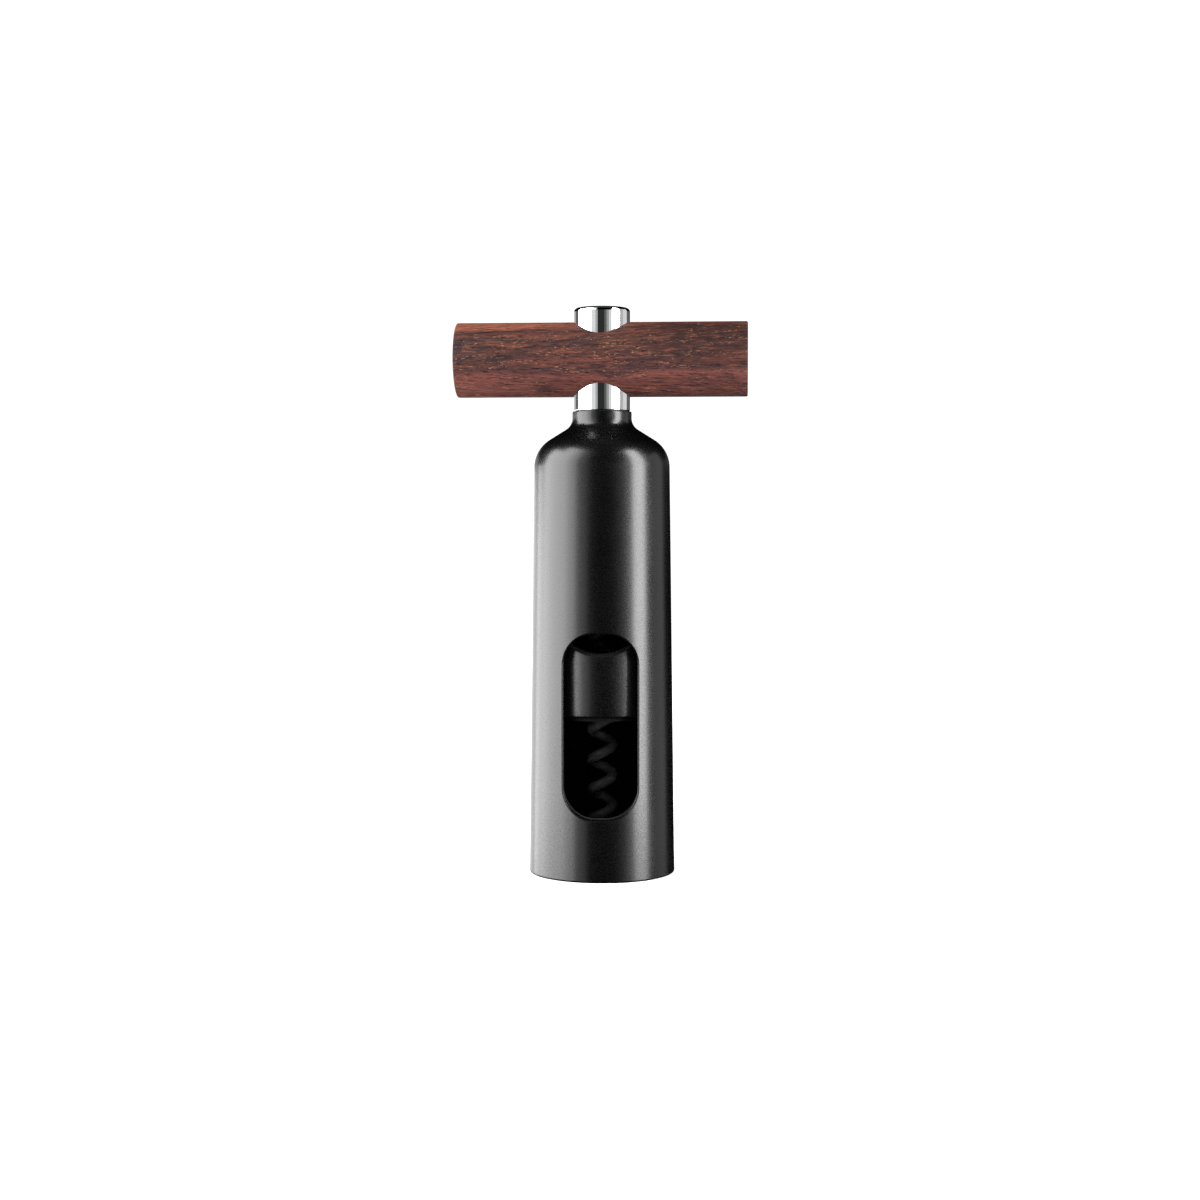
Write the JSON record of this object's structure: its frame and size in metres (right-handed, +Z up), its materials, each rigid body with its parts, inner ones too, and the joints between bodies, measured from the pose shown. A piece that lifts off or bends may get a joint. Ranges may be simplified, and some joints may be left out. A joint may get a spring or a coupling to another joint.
{
  "type": "bell corkscrew",
  "caption": "Self-pulling corkscrew: a black bell with a front window over the bottle neck, a polished column and a wooden cross handle that turns the worm.",
  "frame": {"origin": "on the worm's axis, in the plane of the bell's rim", "axes": "+Z up the axis from rim to handle; the window faces -Y; the cross handle lies along X, turned 2.9 degrees clockwise seen from above"},
  "size_m": [0.0864, 0.043, 0.1659],
  "materials": {
    "bell_black": "fine satin grain",
    "sleeve_black": "satin",
    "seat_rubber": "soft matte",
    "bush_black": "smooth acetal",
    "rosewood": "oiled rosewood",
    "polished_chrome": "polished",
    "steel": "zinc-plated and turned",
    "worm_coat": "dark non-stick coat on steel"
  },
  "bodies": {
    "bell": {"bell_housing": "bell_black", "neck_guide_ring": "sleeve_black", "stop_sleeve": "sleeve_black", "lip_seat_ring": "seat_rubber", "upper_bush": "bush_black", "lower_bush": "bush_black"},
    "spindle": {"spindle": "polished_chrome", "cross_handle": "rosewood", "handle_grub_screw": "steel", "retaining_washer": "steel", "lock_washer": "steel", "worm_hub": "steel", "worm_pin": "steel", "worm": "worm_coat"}
  },
  "joints": [
    {"name": "handle_turn", "type": "hinge", "parent": "bell", "child": "spindle", "pos_m": [0, 0, 0.1359], "axis": [0, 0, 1], "continuous": true}
  ]
}
